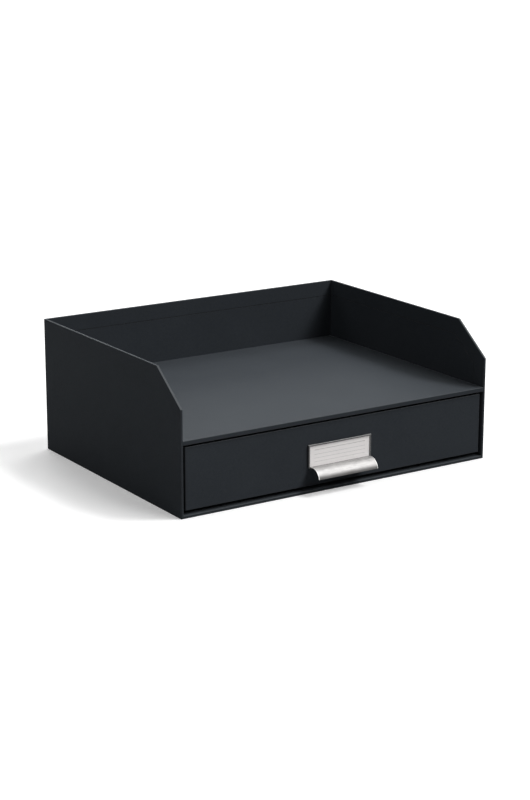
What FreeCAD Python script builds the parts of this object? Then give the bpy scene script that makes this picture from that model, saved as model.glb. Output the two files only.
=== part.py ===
import FreeCAD, Part
import math
import os

# A desk letter tray with a drawer under it, made of fibreboard covered with paper.
#
# The case is a U of two side boards and a back board, glued round a base board and a shelf
# board. The tray above the shelf is open at the front and top, and its side walls are cut back
# at a slant. The drawer under the shelf is a box of five boards. A folded steel label holder on
# its front has its finger pull made from the metal pierced out of its window.
#
# Millimetres. The origin is the middle of the case's footprint on the surface it stands on,
# +X is to the right, +Y to the back and +Z up, so the drawer opens towards -Y.

Vector = FreeCAD.Vector

# ---- Boards and papers ----
wall_board = 1.8  # fibreboard of the case walls and of the whole drawer
base_board = 2.35  # fibreboard of the base
shelf_board = 3.65  # fibreboard of the shelf
paper = 0.2  # covering and lining papers
turn_in = 15.0  # how far a covering paper runs back over an edge
seam_gap = 0.6  # bare line between a turned-in paper and the lining
edge_radius = 0.45  # rounding of the covered edges
corner_radius = 0.9  # rounding of the covered corners

# ---- Case ----
case_width = 331.0
case_depth = 251.5
case_height = 127.6
front_height = 97.2  # side walls at the front, below their slanted edge
slant_run = 39.8  # how far back the slanted edge runs
bay_height = 62.6  # clear height for the drawer, from base to shelf

# ---- Drawer bay ----
side_gap = 2.75  # round the drawer front, left and right
top_gap = 2.2
bottom_gap = 3.85
front_recess = 1.5  # drawer front behind the side walls' front edges
side_clearance = 0.8  # drawer to each side liner
lift_clearance = 0.3  # drawer to the floor liner
back_clearance = 0.5  # drawer to the back wall

# ---- Label holder and pull ----
holder_sheet = 0.6
holder_width = 68.4
holder_height = 21.7
holder_drop = 18.35  # holder's top edge below the drawer's top edge
rim_width = 1.5
lower_corner = 1.3  # rounding of the holder's two lower corners
card_slot = 0.45  # depth of the slot that the card stands in
rear_flange = 9.0
pull_centre = 4.95  # from the drawer front to the middle of the pull's curl
pull_radius = 10.75  # of the pull's upper face
pull_sweep = 80.0  # degrees from the pull's crest to its tip
pull_relief = 0.5  # gap at each side of the pull, left by piercing the window
pull_corner = 0.5
rim_round = 0.45
tip_round = 0.25

# ---- Rivets ----
rivet_radius = 1.25
rivet_head_radius = 2.1  # countersunk head in the rear flange
rivet_clinch_radius = 2.5  # formed head inside the drawer
rivet_clinch_height = 0.8
rivet_inset = 5.0  # from the holder's side edge

# ---- Label card ----
card_thickness = 0.3
card_height = 20.0
card_side_clearance = 0.3

# ---- Derived sizes ----
covered_wall = wall_board + 2 * paper
base_top = base_board + 2 * paper
shelf_under = base_top + bay_height
shelf_top = shelf_under + shelf_board + 2 * paper

half_width = case_width / 2
front = -case_depth / 2
back = case_depth / 2
inner_half = half_width - covered_wall
inner_back = back - covered_wall
core_half = inner_half + paper  # bare inner faces of the wall boards
core_back = inner_back + paper
liner_front = front + turn_in + seam_gap

drawer_half = inner_half - side_gap
drawer_front = front + front_recess
drawer_back = inner_back - back_clearance
drawer_bottom = base_top + bottom_gap
drawer_top = shelf_under - top_gap
liner_face = drawer_half + side_clearance
floor_liner_top = drawer_bottom - lift_clearance

holder_half = holder_width / 2
holder_top = drawer_top - holder_drop
holder_bottom = holder_top - holder_height
plate_front = 2 * holder_sheet + card_slot  # outward from the drawer front
plate_back = plate_front - holder_sheet
window_half = holder_half - rim_width
window_bottom = holder_bottom + 2 * holder_sheet
pull_half = window_half - pull_relief
card_bottom = holder_bottom + holder_sheet
rivet_x = holder_half - rivet_inset
rivet_z = (holder_top + holder_bottom) / 2

TINY = 1e-4
BEYOND = 5.0  # how far a cutter runs past what it cuts


# ---- Shape helpers ----
def block(x0, x1, y0, y1, z0, z1):
    """A box between two corners."""
    return Part.makeBox(x1 - x0, y1 - y0, z1 - z0, Vector(x0, y0, z0))


def plate(outline, x0, x1):
    """A flat plate with an outline of (y, z) points, from x0 to x1."""
    points = [Vector(x0, y, z) for y, z in outline]
    face = Part.Face(Part.makePolygon(points + points[:1]))
    return face.extrude(Vector(x1 - x0, 0, 0))


def one_solid(shape):
    """The shape's solid with split faces joined."""
    return shape.removeSplitter().Solids[0]


def edges_with_ends(shape, test):
    """Edges of a shape with both ends at points that pass a test."""
    return [edge for edge in shape.Edges if all(test(v.Point) for v in edge.Vertexes)]


def is_along(edge, axis):
    """Whether an edge is straight and lies along an axis."""
    run = edge.Vertexes[-1].Point - edge.Vertexes[0].Point
    return abs(abs(run.dot(axis)) - edge.Length) < TINY


def mirrored(shape):
    """The same shape on the other side of the middle plane."""
    return shape.mirror(Vector(0, 0, 0), Vector(1, 0, 0))


# ---- Case walls ----
def slant_point(inset, y=None, z=None):
    """Where the side wall's slanted edge, moved in by inset, meets a given y or z."""
    rise = case_height - front_height
    length = math.hypot(slant_run, rise)
    start_y = front + inset * rise / length
    start_z = front_height - inset * slant_run / length
    if z is None:
        return y, start_z + (y - start_y) * rise / slant_run
    return start_y + (z - start_z) * slant_run / rise, z


def side_outline(inset, bottom, rear):
    """A side wall's outline in (y, z), moved in by inset at the front, slant and top."""
    return [
        (front + inset, bottom),
        slant_point(inset, y=front + inset),
        slant_point(inset, z=case_height - inset),
        (rear, case_height - inset),
        (rear, bottom),
    ]


def wall_shell(inset):
    """The U of case walls with every covered face moved in by inset."""
    outer = half_width - inset
    inner = inner_half + inset
    rear = back - inset
    top = case_height - inset
    outline = side_outline(inset, paper, rear)
    side = plate(outline, inner, outer)
    rear_wall = block(-outer, outer, inner_back + inset, rear, paper, top)
    walls = one_solid(side.fuse([mirrored(side), rear_wall]))

    def on_bend(point):
        return any(math.dist((point.y, point.z), bend) < TINY for bend in outline[1:3])

    def at_rear_corner(point):
        return abs(abs(point.x) - outer) < TINY and abs(point.y - rear) < TINY

    def on_rim(point):
        y_at = slant_point(inset, z=point.z)[0]
        on_front = point.y < front + inset + TINY
        return on_front or point.z > top - TINY or abs(point.y - y_at) < TINY

    bends = edges_with_ends(walls, on_bend)
    corners = [edge for edge in bends if is_along(edge, Vector(1, 0, 0))]
    uprights = edges_with_ends(walls, at_rear_corner)
    corners += [edge for edge in uprights if is_along(edge, Vector(0, 0, 1))]
    walls = walls.makeFillet(corner_radius - inset, corners)
    rim = [
        edge
        for edge in edges_with_ends(walls, on_rim)
        if not (is_along(edge, Vector(1, 0, 0)) and edge.Length < covered_wall + TINY)
    ]
    return walls.makeFillet(edge_radius - inset, rim)


def inside_walls(depth, bottom):
    """The space inside the wall boards, kept depth away from their front and top edges."""
    outline = side_outline(depth, bottom, core_back)
    return plate(outline, -core_half, core_half)


def case_walls():
    """Side and back boards, the paper that covers them and the paper that lines the tray."""
    boards = wall_shell(paper)
    skin = wall_shell(0).cut(boards)
    side = block(core_half, half_width, front, back, 0, case_height)
    rear = block(-core_half, core_half, core_back, back, 0, case_height)
    lined = inside_walls(turn_in + seam_gap, shelf_top)
    uncovered = inside_walls(turn_in, 0)
    return {
        "left_side_board": boards.common(mirrored(side)),
        "right_side_board": boards.common(side),
        "back_board": boards.common(rear),
        "outer_cover_paper": skin.cut(uncovered),
        "wall_lining_paper": skin.common(lined),
    }


# ---- Case base and shelf ----
def rounded_front(half, y0, y1, z0, z1, radius):
    """A flat board with its two front edges rounded."""
    board = block(-half, half, y0, y1, z0, z1)
    front_edges = [
        edge
        for edge in edges_with_ends(board, lambda p: p.y < y0 + TINY)
        if is_along(edge, Vector(1, 0, 0))
    ]
    return board.makeFillet(radius, front_edges)


def folded_paper(z0, z1, whole_face_low):
    """Paper round a board's front edge, over all of one face and turned in on the other."""
    outside = rounded_front(inner_half, front, inner_back, z0, z1, edge_radius)
    inside = rounded_front(
        inner_half + BEYOND,
        front + paper,
        back,
        z0 + paper,
        z1 - paper,
        edge_radius - paper,
    )
    middle = (z0 + z1) / 2
    trim_low, trim_high = (middle, z1) if whole_face_low else (z0, middle)
    trim = block(-half_width, half_width, front + turn_in, back, trim_low, trim_high)
    return outside.cut(inside).cut(trim)


def flat_board(z0, z1, cover):
    """A base or shelf board between the wall boards, let in behind their turned-in paper."""
    board = rounded_front(
        core_half, front + paper, core_back, z0, z1, edge_radius - paper
    )
    return one_solid(board.cut(cover))


def bottom_sheet():
    """Paper under the whole case, with rounded back corners."""
    sheet = block(-half_width, half_width, front + edge_radius, back, 0, paper)
    corners = [
        edge
        for edge in edges_with_ends(sheet, lambda p: p.y > back - TINY)
        if is_along(edge, Vector(0, 0, 1))
    ]
    return sheet.makeFillet(corner_radius, corners)


def case_base_and_shelf(cover):
    """Base and shelf with their papers, and the boards that line the drawer bay."""
    side_liner = block(
        liner_face, core_half, liner_front, core_back, base_top - paper, shelf_under + paper
    )
    floor_liner = block(
        -liner_face, liner_face, liner_front, core_back, base_top - paper, floor_liner_top
    )
    base_paper = folded_paper(0, base_top, whole_face_low=True).fuse(bottom_sheet())
    return {
        "base_board": flat_board(paper, base_top - paper, cover),
        "base_cover_paper": one_solid(base_paper),
        "shelf_board": flat_board(shelf_under + paper, shelf_top - paper, cover),
        "shelf_cover_paper": folded_paper(shelf_under, shelf_top, whole_face_low=False),
        "bay_left_liner": mirrored(side_liner),
        "bay_right_liner": side_liner,
        "bay_floor_liner": floor_liner,
    }


# ---- Drawer ----
def drawer_shell(inset):
    """The open drawer box with every covered face moved in by inset."""
    half = drawer_half - inset
    y0 = drawer_front + inset
    y1 = drawer_back - inset
    bottom = drawer_bottom + inset
    top = drawer_top - inset
    wall = covered_wall - 2 * inset
    box = block(-half, half, y0, y1, bottom, top)
    upright = [edge for edge in box.Edges if is_along(edge, Vector(0, 0, 1))]
    box = box.makeFillet(corner_radius - inset, upright)
    foot = edges_with_ends(box, lambda p: p.z < bottom + TINY)
    box = box.makeFillet(edge_radius - inset, foot)
    hollow = block(-half + wall, half - wall, y0 + wall, y1 - wall, bottom + wall, top + BEYOND)
    box = box.cut(hollow)
    rim = edges_with_ends(box, lambda p: p.z > top - TINY)
    return box.makeFillet(edge_radius - inset, rim)


def rivet_bore(x):
    """A rivet's hole through the drawer front, its boards and its papers."""
    depth = covered_wall + 2 * BEYOND
    start = Vector(x, drawer_front - BEYOND, rivet_z)
    return Part.makeCylinder(rivet_radius, depth, start, Vector(0, 1, 0))


def drawer_box():
    """The five drawer boards, the paper that covers them and the paper that lines them."""
    boards = drawer_shell(paper)
    skin = drawer_shell(0).cut(boards)
    inner_x = drawer_half - covered_wall + paper
    inner_y0 = drawer_front + covered_wall - paper
    inner_y1 = drawer_back - covered_wall + paper
    floor = drawer_bottom + covered_wall - paper
    seam = drawer_top - turn_in

    def hollow(top):
        return block(-inner_x, inner_x, inner_y0, inner_y1, floor, top)

    side = block(inner_x, half_width, inner_y0, inner_y1, 0, case_height)
    bores = [rivet_bore(-rivet_x), rivet_bore(rivet_x)]
    return {
        "drawer_front_board": boards.common(
            block(-half_width, half_width, front, inner_y0, 0, case_height)
        ).cut(bores),
        "drawer_back_board": boards.common(
            block(-half_width, half_width, inner_y1, back, 0, case_height)
        ),
        "drawer_left_board": boards.common(mirrored(side)),
        "drawer_right_board": boards.common(side),
        "drawer_bottom_board": boards.common(
            block(-inner_x, inner_x, inner_y0, inner_y1, 0, floor)
        ),
        "drawer_cover_paper": skin.cut(hollow(seam)).cut(bores),
        "drawer_lining_paper": skin.common(hollow(seam - seam_gap)).cut(bores),
    }


# ---- Label holder ----
def out(distance):
    """The y of a point that stands a distance outward from the drawer front."""
    return drawer_front - distance


def pull_lip():
    """The pull: it rises a little from the window's lower edge, then curls over and down."""
    inner_radius = pull_radius - holder_sheet
    root = (plate_front + plate_back) / 2
    centre_z = window_bottom - math.sqrt(pull_radius**2 - (pull_centre - plate_front) ** 2)

    def on_arc(radius, degrees):
        angle = math.radians(degrees)
        return Vector(
            -pull_half,
            out(pull_centre + radius * math.sin(angle)),
            centre_z + radius * math.cos(angle),
        )

    def at_root(radius):
        return on_arc(radius, -math.degrees(math.asin((pull_centre - root) / radius)))

    edges = [
        Part.Arc(
            at_root(pull_radius),
            on_arc(pull_radius, pull_sweep / 2),
            on_arc(pull_radius, pull_sweep),
        ).toShape(),
        Part.makeLine(on_arc(pull_radius, pull_sweep), on_arc(inner_radius, pull_sweep)),
        Part.Arc(
            on_arc(inner_radius, pull_sweep),
            on_arc(inner_radius, pull_sweep / 2),
            at_root(inner_radius),
        ).toShape(),
        Part.makeLine(at_root(inner_radius), at_root(pull_radius)),
    ]
    lip = Part.Face(Part.Wire(edges)).extrude(Vector(2 * pull_half, 0, 0))
    tip_y = on_arc(inner_radius, pull_sweep).y
    at_tip = edges_with_ends(lip, lambda p: p.y < tip_y + TINY)
    corners = [edge for edge in at_tip if not is_along(edge, Vector(1, 0, 0))]
    lip = lip.makeFillet(pull_corner, corners)
    tip = [
        edge
        for edge in edges_with_ends(lip, lambda p: p.y < tip_y + TINY)
        if is_along(edge, Vector(1, 0, 0))
    ]
    return lip.makeFillet(tip_round, tip)


def holder_frame():
    """Front plate with its window, side folds, rear flanges and the fold under the card."""
    front_plate = block(
        -holder_half, holder_half, out(plate_front), out(plate_back), holder_bottom, holder_top
    )
    window = block(
        -window_half,
        window_half,
        out(plate_front + BEYOND),
        out(plate_back),
        window_bottom,
        holder_top - rim_width,
    )
    fold = block(
        holder_half - holder_sheet, holder_half, out(plate_back), out(0), holder_bottom, holder_top
    )
    flange = block(
        holder_half - rear_flange, holder_half, out(holder_sheet), out(0), holder_bottom, holder_top
    )
    foot = block(
        -holder_half, holder_half, out(plate_back), out(0), holder_bottom, card_bottom
    )
    pieces = [fold, mirrored(fold), flange, mirrored(flange), foot]
    outline = block(
        -holder_half, holder_half, out(plate_front), out(0), holder_bottom, holder_top
    )

    def at_lower_corner(point):
        return point.z < holder_bottom + TINY

    corners = [
        edge
        for edge in edges_with_ends(outline, at_lower_corner)
        if is_along(edge, Vector(0, 1, 0))
    ]
    outline = outline.makeFillet(lower_corner, corners)
    frame = one_solid(front_plate.fuse(pieces).common(outline))

    def on_face(point):
        return abs(point.y - out(plate_front)) < TINY

    frame = frame.makeFillet(rim_round, edges_with_ends(frame, on_face))
    frame = frame.cut(window)
    window_rim = [
        edge
        for edge in edges_with_ends(frame, on_face)
        if edge.BoundBox.XMax < window_half + TINY
        and edge.BoundBox.XMin > -window_half - TINY
        and edge.BoundBox.ZMin > window_bottom - TINY
        and edge.BoundBox.ZMax > window_bottom + TINY
        and edge.BoundBox.ZMax < holder_top - rim_width + TINY
    ]
    return frame.makeFillet(tip_round, window_rim)


def rivet(x):
    """A rivet: countersunk head in the rear flange, shank, and a head formed inside."""
    axis = Vector(0, 1, 0)
    inside = drawer_front + covered_wall
    head = Part.makeCone(
        rivet_head_radius, rivet_radius, holder_sheet, Vector(x, out(holder_sheet), rivet_z), axis
    )
    shank = Part.makeCylinder(rivet_radius, covered_wall, Vector(x, drawer_front, rivet_z), axis)
    clinch = Part.makeCone(
        rivet_clinch_radius,
        rivet_radius,
        rivet_clinch_height,
        Vector(x, inside, rivet_z),
        axis,
    )
    return one_solid(head.fuse([shank, clinch]))


def label_holder_parts():
    """The holder, its two rivets and the card that stands in it."""
    rivets = [rivet(-rivet_x), rivet(rivet_x)]
    holder = one_solid(holder_frame().fuse(pull_lip())).cut(rivets)
    card_half = holder_half - holder_sheet - card_side_clearance
    card_back = holder_sheet + (card_slot - card_thickness) / 2
    card = block(
        -card_half,
        card_half,
        out(card_back + card_thickness),
        out(card_back),
        card_bottom,
        card_bottom + card_height,
    )
    return {
        "label_holder": holder,
        "holder_rivets": Part.makeCompound(rivets),
        "label_card": card,
    }


def main():
    nodes = case_walls()
    nodes.update(case_base_and_shelf(nodes["outer_cover_paper"]))
    nodes.update(drawer_box())
    nodes.update(label_holder_parts())
    os.makedirs("parts", exist_ok=True)
    for name, shape in nodes.items():
        shape.exportStep(os.path.join("parts", name + ".step"))
        print(name, len(shape.Solids), round(shape.Volume, 1), shape.isValid())


main()
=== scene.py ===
import functools
import math

import bpy
from mathutils import Matrix, Vector


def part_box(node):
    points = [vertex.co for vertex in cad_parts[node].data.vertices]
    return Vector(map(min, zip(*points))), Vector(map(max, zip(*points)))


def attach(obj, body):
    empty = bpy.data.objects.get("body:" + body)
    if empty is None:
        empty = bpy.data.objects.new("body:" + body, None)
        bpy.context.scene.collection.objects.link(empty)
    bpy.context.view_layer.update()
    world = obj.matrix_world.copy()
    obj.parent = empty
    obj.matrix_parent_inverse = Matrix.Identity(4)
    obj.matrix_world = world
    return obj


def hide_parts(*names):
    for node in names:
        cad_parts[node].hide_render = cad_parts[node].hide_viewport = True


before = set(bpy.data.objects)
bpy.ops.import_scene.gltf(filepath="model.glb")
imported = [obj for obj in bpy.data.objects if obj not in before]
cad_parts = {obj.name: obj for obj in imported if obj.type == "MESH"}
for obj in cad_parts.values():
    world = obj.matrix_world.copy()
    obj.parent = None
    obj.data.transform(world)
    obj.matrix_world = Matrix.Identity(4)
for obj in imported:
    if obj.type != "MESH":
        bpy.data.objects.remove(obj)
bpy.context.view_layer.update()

MM = 0.001
WHITE = (1, 1, 1, 1)

# ---- Camera ----
CAMERA_PLACE = Vector((-0.9711, -1.49125, 0.5411))
CAMERA_FORWARD = Vector((0.526820, 0.807693, -0.264752))
CAMERA_ROLL = math.radians(0.06)
CAMERA_LENS = 87.88
CAMERA_SENSOR = 36
CAMERA_NEAR = 0.05
CAMERA_FAR = 60

# ---- Studio ----
LAMPS = (
    # name, bearing from the right-hand side towards the back, height, light on a surface that
    # faces the lamp, where 1 is plain full light, and spread; the angles are in degrees
    ("key_lamp", -30, 56, 0.53, 15),
    ("front_lamp", -60, 42, 0.39, 30),
    ("right_lamp", 30, 42, 0.195, 30),
    ("top_lamp", 45, 65, 0.215, 30),
    ("low_rear_lamp", 75, 22, 0.40, 30),
    ("rear_lamp", 135, 42, 0.08, 30),
    ("left_lamp", 210, 42, 0.095, 30),
)
SKY_FILL = 0.02
FLOOR_COLOUR = (0.20, 0.20, 0.20, 1)  # for the light that it throws back at the object
FLOOR_SEEN = (0.85, 0.85, 0.85, 1)  # where it is looked at
FLOOR_GLOW = 0.305  # added where it is looked at, so that its lit part is white
FLOOR_HALF = 12.0  # half of its side, in metres
FLOOR_DROP = 0.05 * MM


# ---- Node graphs ----
class Value:
    """A socket that takes part in sums: each operator adds its Math node."""

    def __init__(self, graph, node, out=0):
        self.graph = graph
        self.node = node
        self.socket = node.outputs[out]

    def out(self, name):
        """Another output of the same node."""
        return Value(self.graph, self.node, name)

    def maths(self, operation, *others):
        """A Math node on this value and the others."""
        inputs = dict(enumerate((self, *others)))
        return self.graph.node("ShaderNodeMath", {"operation": operation}, inputs)

    def __add__(self, other):
        return self.maths("ADD", other)

    def __radd__(self, other):
        return self.maths("ADD", other)

    def __sub__(self, other):
        return self.maths("SUBTRACT", other)

    def __rsub__(self, other):
        return -self + other

    def __mul__(self, other):
        return self.maths("MULTIPLY", other)

    def __rmul__(self, other):
        return self.maths("MULTIPLY", other)

    def __truediv__(self, other):
        return self.maths("DIVIDE", other)

    def __neg__(self):
        return self * -1

    def __abs__(self):
        return self.maths("ABSOLUTE")

    def at_least(self, other):
        return self.maths("MAXIMUM", other)

    def at_most(self, other):
        return self.maths("MINIMUM", other)

    def around(self, middle, swing):
        """A pattern from 0 to 1 made to swing about a middle."""
        return middle + swing * (self - 0.5)


class Graph:
    """A node tree under construction. node() adds any node: type, settings, then sockets."""

    def __init__(self, tree):
        self.tree = tree
        tree.nodes.clear()

    def node(self, kind, settings=None, sockets=None, out=0):
        """A node, given as one of its outputs."""
        made = self.tree.nodes.new(kind)
        for name, value in (settings or {}).items():
            setattr(made, name, value)
        for name, value in (sockets or {}).items():
            if isinstance(value, Value):
                self.tree.links.new(value.socket, made.inputs[name])
            else:
                made.inputs[name].default_value = value
        return Value(self, made, out) if made.outputs else None

    def coordinates(self, scale=(1, 1, 1)):
        """Object coordinates, in metres times the scale."""
        place = self.node("ShaderNodeTexCoord", out="Object")
        return self.node("ShaderNodeMapping", sockets={"Vector": place, "Scale": scale})

    def facing(self):
        """The direction that the surface faces, along the piece's own axes."""
        return self.node("ShaderNodeTexCoord", out="Normal")

    def parts(self, vector):
        """The X, Y and Z of a vector."""
        split = self.node("ShaderNodeSeparateXYZ", sockets={0: vector})
        return split.out("X"), split.out("Y"), split.out("Z")

    def noise(self, where, scale, detail=2.0, roughness=0.5, distortion=0.0):
        """A noise from about 0 to 1."""
        sockets = {
            "Vector": where,
            "Scale": scale,
            "Detail": detail,
            "Roughness": roughness,
            "Distortion": distortion,
        }
        return self.node("ShaderNodeTexNoise", sockets=sockets)

    def fade(self, value, low, high):
        """A smooth rise from 0 at low to 1 at high."""
        return self.node(
            "ShaderNodeMapRange",
            {"interpolation_type": "SMOOTHSTEP"},
            {"Value": value, "From Min": low, "From Max": high},
        )

    def mix(self, share, first, second):
        """A colour between two colours."""
        sockets = {0: share, 6: first, 7: second}
        return self.node("ShaderNodeMix", {"data_type": "RGBA"}, sockets, out=2)

    def bump(self, height, distance, strength):
        """The normal of a fine relief."""
        sockets = {"Height": height, "Distance": distance, "Strength": strength}
        return self.node("ShaderNodeBump", sockets=sockets)

    def surface(self, **sockets):
        """The finished surface, from a Principled shader's sockets."""
        named = {name.replace("_", " "): value for name, value in sockets.items()}
        shader = self.node("ShaderNodeBsdfPrincipled", sockets=named)
        self.node("ShaderNodeOutputMaterial", sockets={"Surface": shader})


def new_finish(name):
    """A material and its empty graph."""
    material = bpy.data.materials.new(name)
    material.use_nodes = True
    return material, Graph(material.node_tree)


# ---- Finishes ----
# A noise's scale counts its waves per metre. SHADES are the levels of a pattern between which
# it goes from the dark colour to the pale one. DULLNESS is the middle of the roughness and its
# swing with a pattern. RELIEF is the depth of the bumps and their strength.

PAPER_DARK = (0.0312, 0.0358, 0.0418, 1)
PAPER_PALE = (0.0436, 0.0496, 0.0572, 1)
# colour of the lightened edges: wear, and painted highlight
PAPER_WORN_AND_LIT = (0.120, 0.128, 0.134, 1)
PAPER_CLOUDS = {"scale": 24, "detail": 3, "roughness": 0.5}
PAPER_FIBRES = {"scale": 700, "detail": 4, "roughness": 0.68, "distortion": 1.6}
PAPER_GRAIN = {"scale": 2600, "detail": 2}
PAPER_PATCHES = {"scale": 140, "detail": 3, "roughness": 0.6}
CLOUD_SHARE, FIBRE_SHARE, GRAIN_SHARE = 0.15, 0.50, 0.35
PAPER_SHADES = (0.34, 0.66)
PAPER_DULLNESS = (0.56, 0.12)
RUBBED_GLOSS = 0.05
FIBRE_HEIGHT, GRAIN_HEIGHT = 0.6, 0.4
PAPER_RELIEF = (0.06 * MM, 0.35)
PAPER_SPECULAR = 0.0125
NAP_SHEEN = 0.40
NAP_SPREAD = 0.30
NAP_TINT = (0.90, 0.97, 1.0, 1)

SLANT_RISE = 30.4 * MM
SLANT_RUN = 39.8 * MM
SLANT_NORMAL = Vector((0, -SLANT_RISE, SLANT_RUN)).normalized()
SLANT_MATCH = (0.62, 0.95)  # how near a face's direction comes to the slanted edge's
SLANT_FRONT = (0.30, 0.50)  # how far it faces the front
SLANT_TOP = (0.84, 0.96)  # how far it faces up, past which it is a level edge
SLANT_HIGHLIGHT = 0.90  # how far the slanted edges are lightened: painted highlight
EDGE_FLAT = (0.90, 0.995)  # largest part of a face's direction, from rounded to flat
# how far rounded edges are lightened: wear and painted highlight
EDGE_WEAR_AND_HIGHLIGHT = 0.28
PATCH_WEAR_AND_HIGHLIGHT = (0.75, 0.5)  # middle and swing of the edges' wear and painted highlight from patch to patch


def paper_wear_and_highlight(graph):
    """How much the paper's edges are lightened: 0 on flat faces, wear and painted highlight on
    rounded edges, painted highlight on the slanted edges.
    """
    normal = graph.facing()
    x, y, z = graph.parts(normal)
    along_slant = graph.node(
        "ShaderNodeVectorMath",
        {"operation": "DOT_PRODUCT"},
        {0: normal, 1: tuple(SLANT_NORMAL)},
        out="Value",
    )
    slanted = graph.fade(along_slant, *SLANT_MATCH) * graph.fade(-y, *SLANT_FRONT)
    slanted = slanted * (1 - graph.fade(z, *SLANT_TOP))
    flat = abs(x).at_least(abs(y)).at_least(abs(z))
    rounded = 1 - graph.fade(flat, *EDGE_FLAT)
    return (rounded * EDGE_WEAR_AND_HIGHLIGHT).at_least(slanted * SLANT_HIGHLIGHT)


def covering_paper():
    """Charcoal paper, dyed through: fibres, faint clouding, and edges lightened by wear and
    painted highlight.
    """
    material, graph = new_finish("charcoal_paper")
    where = graph.coordinates()
    clouds = graph.noise(where, **PAPER_CLOUDS)
    fibres = graph.noise(where, **PAPER_FIBRES)
    grain = graph.noise(where, **PAPER_GRAIN)
    shade = CLOUD_SHARE * clouds + FIBRE_SHARE * fibres + GRAIN_SHARE * grain
    body = graph.mix(graph.fade(shade, *PAPER_SHADES), PAPER_DARK, PAPER_PALE)
    patches = graph.noise(where, **PAPER_PATCHES)
    # edges lightened by wear and by painted highlight
    worn_and_lit = paper_wear_and_highlight(graph) * patches.around(*PATCH_WEAR_AND_HIGHLIGHT)
    height = FIBRE_HEIGHT * fibres + GRAIN_HEIGHT * grain
    graph.surface(
        Base_Color=graph.mix(worn_and_lit, body, PAPER_WORN_AND_LIT),
        Roughness=fibres.around(*PAPER_DULLNESS) - RUBBED_GLOSS * worn_and_lit,
        Specular_IOR_Level=PAPER_SPECULAR,
        Sheen_Weight=NAP_SHEEN,
        Sheen_Roughness=NAP_SPREAD,
        Sheen_Tint=NAP_TINT,
        Normal=graph.bump(height, *PAPER_RELIEF),
    )
    return material


# The board's near-black colour is painted shade: the bare line at a lining's edge shows as the
# shadow of the step there.
BOARD_DARK = (0.011, 0.012, 0.013, 1)
BOARD_PALE = (0.021, 0.022, 0.023, 1)
BOARD_FLECKS = {"scale": 900, "detail": 4, "roughness": 0.7, "distortion": 0.8}
BOARD_SHADES = (0.35, 0.7)
BOARD_DULLNESS = (0.72, 0.1)
BOARD_RELIEF = (0.1 * MM, 0.4)
BOARD_SPECULAR = 0.2


def dyed_board():
    """Near-black fibreboard: the bay's liners, and the bare line at a lining's edge, whose
    darkness is painted shade.
    """
    material, graph = new_finish("seam_shade_fibreboard")
    flecks = graph.noise(graph.coordinates(), **BOARD_FLECKS)
    graph.surface(
        Base_Color=graph.mix(graph.fade(flecks, *BOARD_SHADES), BOARD_DARK, BOARD_PALE),
        Roughness=flecks.around(*BOARD_DULLNESS),
        Specular_IOR_Level=BOARD_SPECULAR,
        Normal=graph.bump(flecks, *BOARD_RELIEF),
    )
    return material


HOLDER_PAINTED_TONES = {
    # the brushing's dark and pale colour on each part of the holder; the differences between the
    # parts are painted reflection: the frame dark, a painted highlight on faces turned up,
    # painted shade on the side folds, the pull's crown painted bright and its lower part dark,
    # and a painted highlight on the sheared ends
    "plate": ((0.075, 0.075, 0.076, 1), (0.120, 0.120, 0.121, 1)),
    "upward_painted_highlight": ((0.17, 0.169, 0.168, 1), (0.26, 0.258, 0.256, 1)),
    "side_fold_painted_shade": ((0.020, 0.020, 0.021, 1), (0.034, 0.034, 0.035, 1)),
    "pull_low_painted_dark": ((0.085, 0.082, 0.081, 1), (0.120, 0.117, 0.116, 1)),
    "pull_crown_painted_bright": ((0.300, 0.294, 0.290, 1), (0.450, 0.442, 0.437, 1)),
    "sheared_end_painted_highlight": ((0.84, 0.83, 0.82, 1), (0.95, 0.94, 0.93, 1)),
}
HOLDER_STROKES = {"scale": 2600, "detail": 4, "roughness": 0.75}
HOLDER_SMUDGES = {"scale": 260, "detail": 3, "roughness": 0.6}
STROKE_STRETCH = (0.04, 1, 1)  # the brushing runs along the holder
SMUDGE_STRETCH = (0.5, 1, 1)
STROKE_SHARE, SMUDGE_SHARE = 0.6, 0.4
HOLDER_SHADES = (0.32, 0.68)
HOLDER_DULLNESS = (0.64, 0.10)
SMUDGE_DULLNESS = (0, 0.05)
HOLDER_RELIEF = (0.04 * MM, 0.5)
PLATE_TO_PULL = (126.1 * MM, 127.5 * MM)  # distance ahead of the case's middle
PULL_HEIGHT = (16.8 * MM, 20.6 * MM)  # from its lower part, painted dark, to its crown, painted bright: painted reflection
PULL_RIM = (31.5 * MM, 32.0 * MM)  # distance to either side of its middle, past which its sheared ends get a painted highlight
# how far the pull's side rims take the painted highlight
RIM_SHARE = 0.8
# faces turned up get a painted highlight
FACES_UP = (0.15, 0.75)
# faces turned aside: painted shade on the side folds, painted highlight on the pull's sheared
# ends
FACES_ASIDE = (0.35, 0.8)


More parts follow.
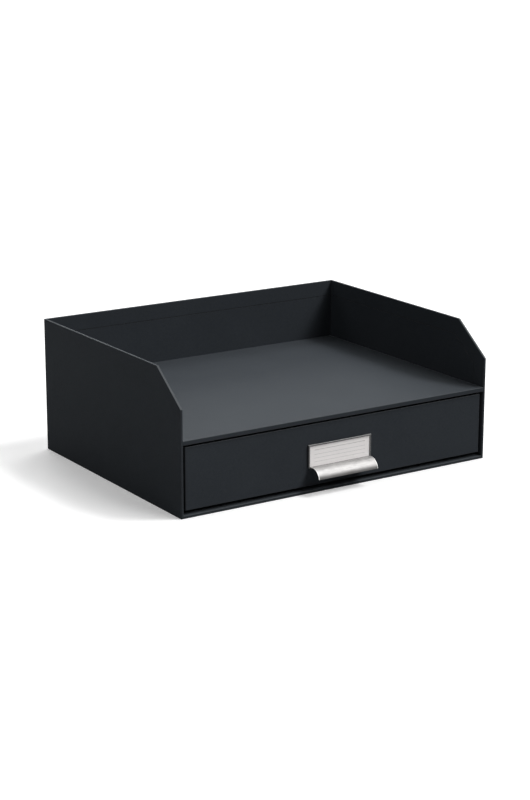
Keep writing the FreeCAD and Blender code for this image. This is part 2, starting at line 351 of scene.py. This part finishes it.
def holder_steel():
    """Satin steel, brushed along the holder, shaded with painted reflection: dark on the frame,
    bright on the pull's crown.
    """
    material, graph = new_finish("brushed_steel")
    strokes = graph.noise(graph.coordinates(STROKE_STRETCH), **HOLDER_STROKES)
    smudges = graph.noise(graph.coordinates(SMUDGE_STRETCH), **HOLDER_SMUDGES)
    shade = graph.fade(STROKE_SHARE * strokes + SMUDGE_SHARE * smudges, *HOLDER_SHADES)
    tone = {name: graph.mix(shade, *pair) for name, pair in HOLDER_PAINTED_TONES.items()}
    x, y, z = graph.parts(graph.coordinates())
    pull = graph.fade(-y, *PLATE_TO_PULL)
    crown = graph.fade(z, *PULL_HEIGHT)
    rim = pull * graph.fade(abs(x), *PULL_RIM)
    facing_x, _, facing_z = graph.parts(graph.facing())
    upward = graph.fade(facing_z, *FACES_UP) * (1 - pull)
    aside = graph.fade(abs(facing_x), *FACES_ASIDE)
    # the frame's dark tone is painted reflection; faces turned up get a painted highlight, the
    # side folds painted shade
    plate = graph.mix(upward, tone["plate"], tone["upward_painted_highlight"])
    plate = graph.mix(aside, plate, tone["side_fold_painted_shade"])
    # the pull's crown painted bright and its lower part dark: painted reflection
    curl = graph.mix(crown, tone["pull_low_painted_dark"], tone["pull_crown_painted_bright"])
    # a painted highlight on the pull's sheared ends and side rims
    sheared_highlight = (pull * aside).at_least(rim * RIM_SHARE)
    graph.surface(
        Base_Color=graph.mix(sheared_highlight, graph.mix(pull, plate, curl), tone["sheared_end_painted_highlight"]),
        Metallic=1.0,
        Roughness=strokes.around(*HOLDER_DULLNESS) + smudges.around(*SMUDGE_DULLNESS),
        Normal=graph.bump(strokes, *HOLDER_RELIEF),
    )
    return material


RIVET_DARK = (0.30, 0.295, 0.29, 1)
RIVET_PALE = (0.42, 0.415, 0.40, 1)
RIVET_MARKS = {"scale": 1500, "detail": 3, "roughness": 0.6}
RIVET_DULLNESS = (0.3, 0.15)
RIVET_RELIEF = (0.04 * MM, 0.4)


def rivet_steel():
    """Plated steel of the rivets."""
    material, graph = new_finish("plated_rivets")
    marks = graph.noise(graph.coordinates(), **RIVET_MARKS)
    graph.surface(
        Base_Color=graph.mix(marks, RIVET_DARK, RIVET_PALE),
        Metallic=1.0,
        Roughness=marks.around(*RIVET_DULLNESS),
        Normal=graph.bump(marks, *RIVET_RELIEF),
    )
    return material


CARD_DARK = (0.93, 0.90, 0.89, 1)
CARD_PALE = (0.96, 0.93, 0.92, 1)
CARD_FIBRES = {"scale": 1400, "detail": 4, "roughness": 0.65, "distortion": 1.2}
CARD_SHADES = (0.3, 0.7)
CARD_DULLNESS = (0.35, 0.1)
CARD_RELIEF = (0.03 * MM, 0.3)
CARD_SPECULAR = 1.0
CARD_INK = (0.16, 0.16, 0.165, 1)
INK_SHARE = 0.5
CARD_RULES = (
    # height, then half of the line's breadth, in mm
    (39.4, 0.34),
    (35.2, 0.16),
    (31.8, 0.16),
    (28.4, 0.16),
)
RULE_SOFTNESS = (0.6, 1.2)  # shares of that half between which a line fades out
RULE_ENDS = (27.5 * MM, 27.6 * MM)  # distance to either side of the card's middle


def ruled_card():
    """Off-white card with plain ruled lines."""
    material, graph = new_finish("ruled_card")
    where = graph.coordinates()
    fibres = graph.noise(where, **CARD_FIBRES)
    stock = graph.mix(graph.fade(fibres, *CARD_SHADES), CARD_DARK, CARD_PALE)
    x, _, z = graph.parts(where)
    rules = [
        1 - graph.fade(abs(z - height * MM), *(share * half * MM for share in RULE_SOFTNESS))
        for height, half in CARD_RULES
    ]
    lines = functools.reduce(Value.at_least, rules) * (1 - graph.fade(abs(x), *RULE_ENDS))
    graph.surface(
        Base_Color=graph.mix(lines * INK_SHARE, stock, CARD_INK),
        Roughness=fibres.around(*CARD_DULLNESS),
        Specular_IOR_Level=CARD_SPECULAR,
        Normal=graph.bump(fibres, *CARD_RELIEF),
    )
    return material


FINISHES = {
    "covering_paper": covering_paper(),
    "dyed_board": dyed_board(),
    "holder_steel": holder_steel(),
    "rivet_steel": rivet_steel(),
    "card": ruled_card(),
}


def finish_cad_nodes():
    """Every CAD node takes the finish of its material slot."""
    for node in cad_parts.values():
        for slot in node.material_slots:
            slot.material = FINISHES[slot.material.name.split(".")[0]]


# ---- Rivets ----
RIVET_SHAPE = {
    # radius, then depth behind the front of the head, in mm
    "head": ((0, 0.05), (1.2, 0.03), (1.8, 0.0), (1.98, 0.02), (2.06, 0.09), (1.28, 0.56)),
    "shank": ((1.25, 0.60), (1.25, 2.77)),
    "roll": ((2.42, 2.80), (2.50, 2.88), (2.48, 3.03), (2.34, 3.22), (2.10, 3.36), (1.80, 3.42)),
    "mouth": ((1.48, 3.36), (1.22, 3.20), (1.05, 2.98), (0.97, 2.70), (0.92, 2.45)),
    "end of the bore": ((0.84, 2.34), (0.60, 2.28), (0, 2.26)),
}
RIVET_OUTLINE = [
    (radius * MM, depth * MM, 0) for part in RIVET_SHAPE.values() for radius, depth in part
]
RIVET_SEGMENTS = 36
RIVET_COUNT = 2
RIVET_SHARP = math.radians(40)  # edges bent more than this stay crisp
MERGE_REACH = 0.001 * MM


def rivet_row_tree():
    """Turns a rivet's outline round its own axis, and sets the rivet at places in a row."""
    tree = bpy.data.node_groups.new("rivet_row", "GeometryNodeTree")
    for name, kind in (
        ("Outline", "NodeSocketGeometry"),
        ("Outline points", "NodeSocketInt"),
        ("Segments", "NodeSocketInt"),
        ("First place", "NodeSocketVector"),
        ("Step", "NodeSocketVector"),
        ("Count", "NodeSocketInt"),
        ("Finish", "NodeSocketMaterial"),
    ):
        tree.interface.new_socket(name=name, in_out="INPUT", socket_type=kind)
    tree.interface.new_socket(name="Rivets", in_out="OUTPUT", socket_type="NodeSocketGeometry")
    graph = Graph(tree)
    given = graph.node("NodeGroupInput")
    points = given.out("Outline points")
    segments = given.out("Segments")
    index = graph.node("GeometryNodeInputIndex")
    turn = ((index + 0.5) / points).maths("FLOOR") / segments * math.tau
    sample = graph.node(
        "GeometryNodeSampleIndex",
        {"data_type": "FLOAT_VECTOR"},
        {
            "Geometry": given.out("Outline"),
            "Value": graph.node("GeometryNodeInputPosition"),
            "Index": index.maths("MODULO", points),
        },
    )
    radius, depth, _ = graph.parts(sample)
    place = graph.node(
        "ShaderNodeCombineXYZ",
        sockets={0: radius * turn.maths("SINE"), 1: depth, 2: radius * turn.maths("COSINE")},
    )
    skin = graph.node(
        "GeometryNodeMeshGrid",
        sockets={"Size X": 1, "Size Y": 1, "Vertices X": segments + 1, "Vertices Y": points},
    )
    skin = graph.node("GeometryNodeSetPosition", sockets={"Geometry": skin, "Position": place})
    skin = graph.node(
        "GeometryNodeMergeByDistance", sockets={"Geometry": skin, "Distance": MERGE_REACH}
    )
    skin = graph.node("GeometryNodeSetShadeSmooth", sockets={"Geometry": skin})
    bent = graph.node("GeometryNodeInputMeshEdgeAngle").maths("GREATER_THAN", RIVET_SHARP)
    skin = graph.node(
        "GeometryNodeSetShadeSmooth",
        {"domain": "EDGE"},
        {"Geometry": skin, "Selection": bent, "Shade Smooth": False},
    )
    row = graph.node(
        "GeometryNodeMeshLine",
        sockets={
            "Count": given.out("Count"),
            "Start Location": given.out("First place"),
            "Offset": given.out("Step"),
        },
    )
    rivets = graph.node("GeometryNodeInstanceOnPoints", sockets={"Points": row, "Instance": skin})
    rivets = graph.node("GeometryNodeRealizeInstances", sockets={"Geometry": rivets})
    rivets = graph.node(
        "GeometryNodeSetMaterial", sockets={"Geometry": rivets, "Material": given.out("Finish")}
    )
    graph.node("NodeGroupOutput", sockets={"Rivets": rivets})
    return tree


def make_rivets():
    """The two tubular rivets that hold the label holder: head, shank and rolled end."""
    low, high = (Vector(corner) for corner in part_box("holder_rivets"))
    reach = max(radius for radius, _, _ in RIVET_OUTLINE)
    last = len(RIVET_OUTLINE) - 1
    mesh = bpy.data.meshes.new("rivet_outline")
    mesh.from_pydata(RIVET_OUTLINE, [(at, at + 1) for at in range(last)], [])
    maker = bpy.data.objects.new("rivet_outline", mesh)
    bpy.context.scene.collection.objects.link(maker)
    tree = rivet_row_tree()
    values = {
        "Outline points": len(RIVET_OUTLINE),
        "Segments": RIVET_SEGMENTS,
        "First place": (low.x + reach, low.y, (low.z + high.z) / 2),
        "Step": ((high.x - low.x - 2 * reach) / (RIVET_COUNT - 1), 0, 0),
        "Count": RIVET_COUNT,
        "Finish": FINISHES["rivet_steel"],
    }
    modifier = maker.modifiers.new("rivet_row", "NODES")
    modifier.node_group = tree
    for item in tree.interface.items_tree:
        if item.name in values:
            modifier[item.identifier] = values[item.name]
    evaluated = maker.evaluated_get(bpy.context.evaluated_depsgraph_get())
    mesh = bpy.data.meshes.new_from_object(evaluated)
    mesh.materials.pop(index=0)  # a made mesh comes with an empty slot ahead of its finish
    rivets = bpy.data.objects.new("drawer_rivets", mesh)
    bpy.context.scene.collection.objects.link(rivets)
    maker.modifiers.remove(modifier)
    bpy.data.objects.remove(maker)
    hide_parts("holder_rivets")
    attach(rivets, "drawer")


# ---- Surroundings ----
def bright_rays(graph):
    """1 for the rays that see a white background, 0 for those that carry light."""
    ray = graph.node("ShaderNodeLightPath")
    seen = ray.out("Is Camera Ray") + ray.out("Is Glossy Ray") + ray.out("Is Transmission Ray")
    return seen.at_most(1)


def make_world():
    """A white background that gives the object only a weak even light."""
    world = bpy.data.worlds.new("studio_white")
    bpy.context.scene.world = world
    world.use_nodes = True
    graph = Graph(world.node_tree)
    seen = bright_rays(graph)
    strength = seen + (1 - seen) * SKY_FILL
    sky = graph.node("ShaderNodeBackground", sockets={"Color": WHITE, "Strength": strength})
    graph.node("ShaderNodeOutputWorld", sockets={"Surface": sky})


def make_floor():
    """A pale floor that renders white where it is fully lit."""
    mesh = bpy.data.meshes.new("floor")
    corners = [
        (x * FLOOR_HALF, y * FLOOR_HALF, -FLOOR_DROP)
        for x, y in ((-1, -1), (1, -1), (1, 1), (-1, 1))
    ]
    mesh.from_pydata(corners, [], [(0, 1, 2, 3)])
    floor = bpy.data.objects.new("floor", mesh)
    bpy.context.scene.collection.objects.link(floor)
    material, graph = new_finish("pale_floor")
    plain = graph.node("ShaderNodeBsdfDiffuse", sockets={"Color": FLOOR_COLOUR})
    matt = graph.node("ShaderNodeBsdfDiffuse", sockets={"Color": FLOOR_SEEN})
    glow = graph.node("ShaderNodeEmission", sockets={"Color": WHITE, "Strength": FLOOR_GLOW})
    white = graph.node("ShaderNodeAddShader", sockets={0: matt, 1: glow})
    looks = {0: bright_rays(graph), 1: plain, 2: white}
    shader = graph.node("ShaderNodeMixShader", sockets=looks)
    graph.node("ShaderNodeOutputMaterial", sockets={"Surface": shader})
    mesh.materials.append(material)


def make_lamps():
    """Wide soft lamps, far away."""
    for name, bearing, height, level, spread in LAMPS:
        sun = bpy.data.lights.new(name, "SUN")
        sun.energy = level * math.pi
        sun.angle = math.radians(spread)
        lamp = bpy.data.objects.new(name, sun)
        bpy.context.scene.collection.objects.link(lamp)
        aim = Matrix.Rotation(math.radians(bearing), 3, "Z")
        tilt = Matrix.Rotation(math.radians(90 - height), 3, "Y")
        lamp.rotation_mode = "QUATERNION"
        lamp.rotation_quaternion = (aim @ tilt).to_quaternion()


def make_camera():
    """The camera, which looks from the front left and a little from above."""
    lens = bpy.data.cameras.new("camera")
    lens.lens = CAMERA_LENS
    lens.sensor_width = CAMERA_SENSOR
    lens.clip_start = CAMERA_NEAR
    lens.clip_end = CAMERA_FAR
    camera = bpy.data.objects.new("camera", lens)
    bpy.context.scene.collection.objects.link(camera)
    camera.location = CAMERA_PLACE
    aim = CAMERA_FORWARD.to_track_quat("-Z", "Y").to_matrix()
    roll = Matrix.Rotation(CAMERA_ROLL, 3, "Z")
    camera.rotation_mode = "QUATERNION"
    camera.rotation_quaternion = (aim @ roll).to_quaternion()
    bpy.context.scene.camera = camera


finish_cad_nodes()
make_rivets()
make_world()
make_floor()
make_lamps()
make_camera()
bpy.context.scene.view_settings.view_transform = "Standard"
